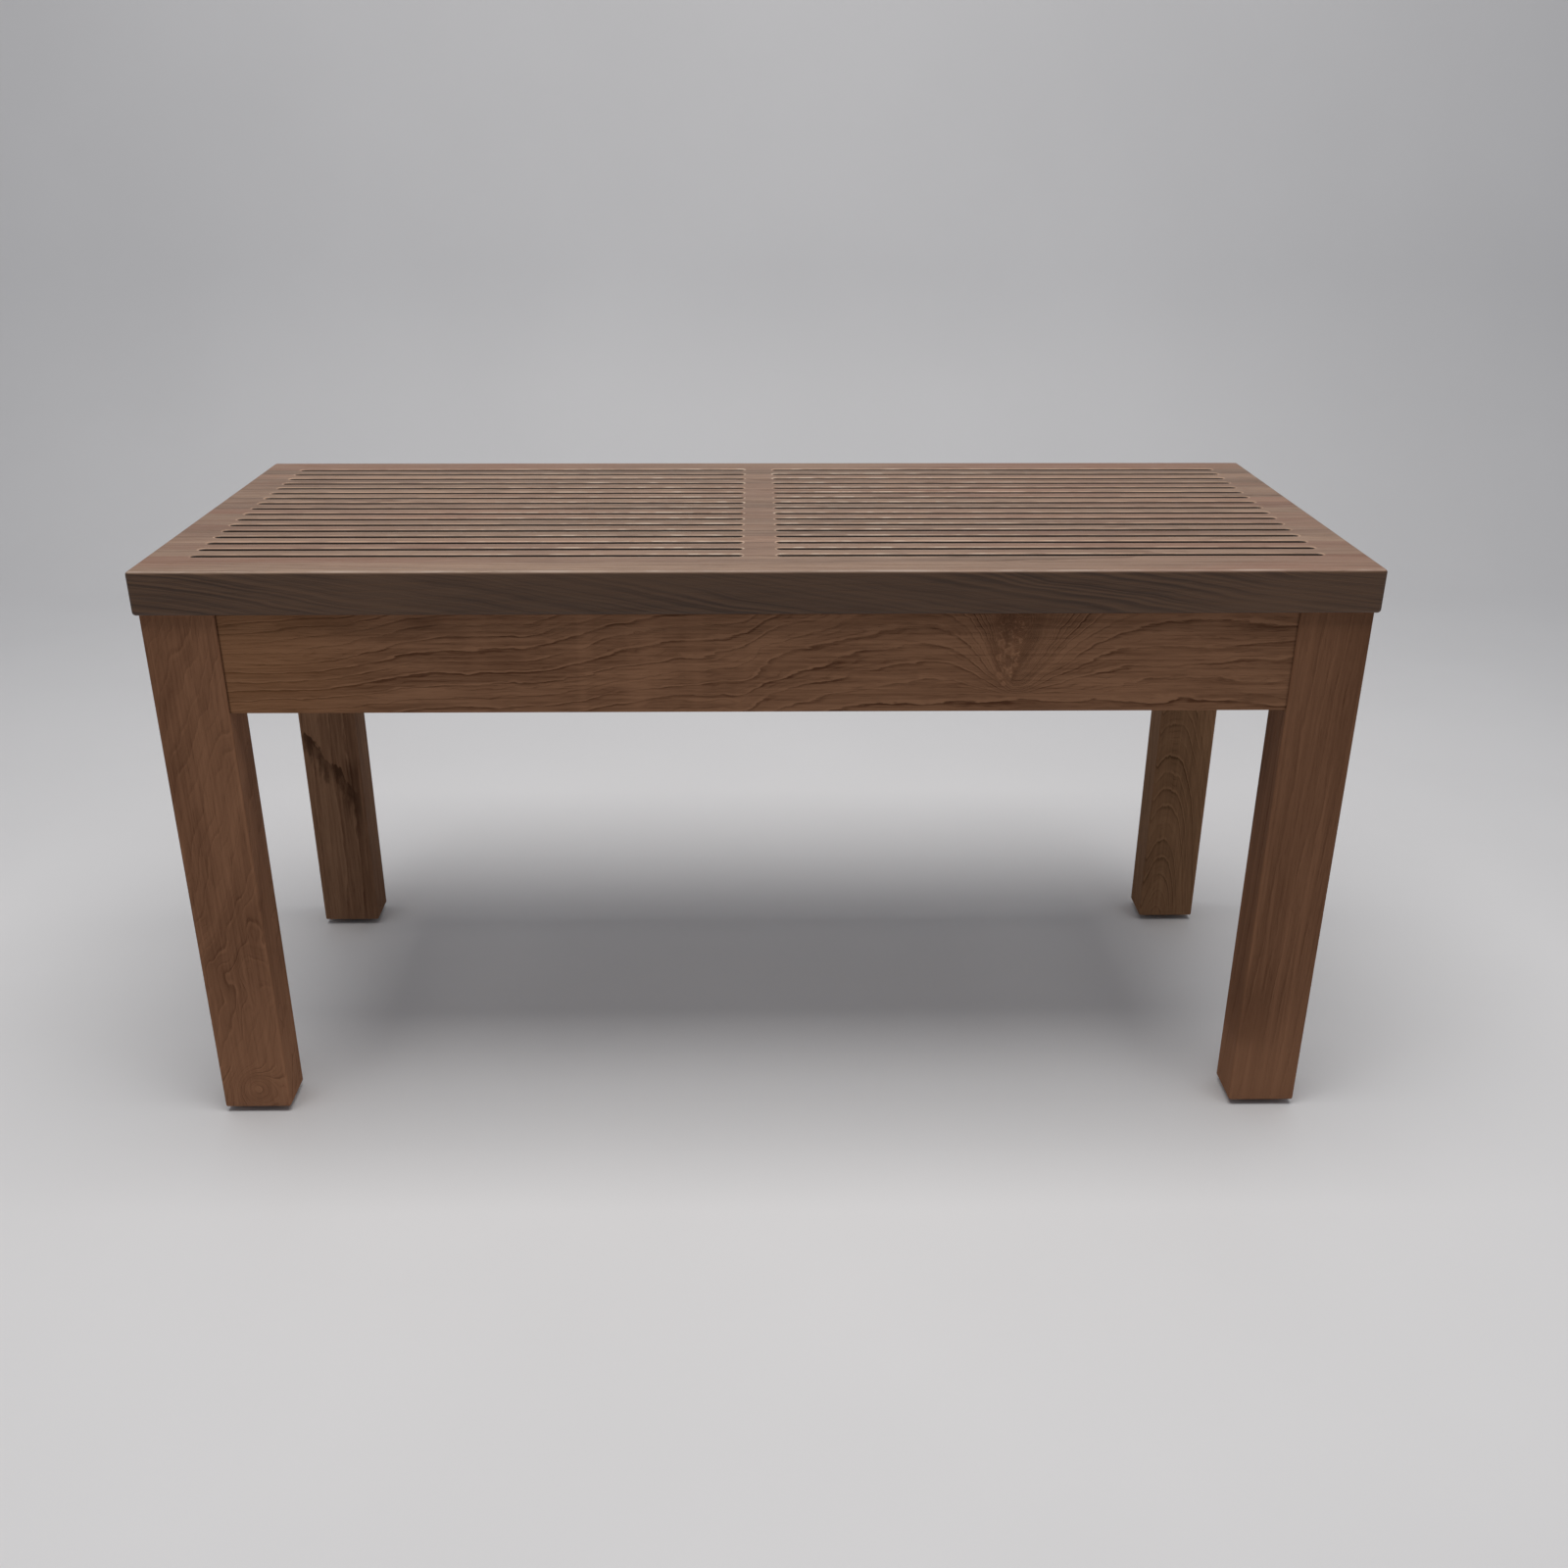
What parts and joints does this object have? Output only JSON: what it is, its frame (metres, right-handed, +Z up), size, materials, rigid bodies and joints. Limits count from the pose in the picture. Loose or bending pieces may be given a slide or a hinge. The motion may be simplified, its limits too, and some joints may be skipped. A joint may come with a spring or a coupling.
{
  "type": "backless bench",
  "caption": "Backless wooden bench: thick seat with long drainage slots in two fields, four square-cut legs, deep aprons and round screw-in levelling glides.",
  "frame": {"origin": "on the floor, under the middle of the seat's rectangle", "axes": "+X along the bench to its right end, seen from the front; the front faces -Y; +Z up"},
  "size_m": [0.9, 0.4, 0.457],
  "materials": {
    "seat_teak": "sanded, lightly oiled",
    "leg_teak": "sanded, lightly oiled",
    "apron_teak": "sanded, lightly oiled",
    "zinc_steel": "zinc plated",
    "insert_brass": "as turned",
    "glide_plastic": "moulded, matte"
  },
  "bodies": {
    "bench": {"front_bar": "seat_teak", "slat_01": "seat_teak", "slat_02": "seat_teak", "slat_03": "seat_teak", "slat_04": "seat_teak", "slat_05": "seat_teak", "slat_06": "seat_teak", "slat_07": "seat_teak", "slat_08": "seat_teak", "slat_09": "seat_teak", "slat_10": "seat_teak", "slat_11": "seat_teak", "slat_12": "seat_teak", "slat_13": "seat_teak", "slat_14": "seat_teak", "slat_15": "seat_teak", "slat_16": "seat_teak", "slat_17": "seat_teak", "rear_bar": "seat_teak", "leg_front_left": "leg_teak", "leg_front_right": "leg_teak", "leg_rear_left": "leg_teak", "leg_rear_right": "leg_teak", "apron_front": "apron_teak", "apron_rear": "apron_teak", "apron_left": "apron_teak", "apron_right": "apron_teak", "centre_rail": "apron_teak", "top_clips": "zinc_steel", "clip_screws": "zinc_steel", "rail_screws": "zinc_steel", "leg_inserts": "insert_brass"},
    "glide_front_left": {"glide_pad_front_left": "glide_plastic", "glide_stem_front_left": "zinc_steel"},
    "glide_front_right": {"glide_pad_front_right": "glide_plastic", "glide_stem_front_right": "zinc_steel"},
    "glide_rear_left": {"glide_pad_rear_left": "glide_plastic", "glide_stem_rear_left": "zinc_steel"},
    "glide_rear_right": {"glide_pad_rear_right": "glide_plastic", "glide_stem_rear_right": "zinc_steel"}
  },
  "joints": [
    {"name": "level_front_left", "type": "slide", "parent": "bench", "child": "glide_front_left", "axis": [0, 0, -1], "range_m": [0, 0.01]},
    {"name": "level_front_right", "type": "slide", "parent": "bench", "child": "glide_front_right", "axis": [0, 0, -1], "range_m": [0, 0.01]},
    {"name": "level_rear_left", "type": "slide", "parent": "bench", "child": "glide_rear_left", "axis": [0, 0, -1], "range_m": [0, 0.01]},
    {"name": "level_rear_right", "type": "slide", "parent": "bench", "child": "glide_rear_right", "axis": [0, 0, -1], "range_m": [0, 0.01]}
  ]
}
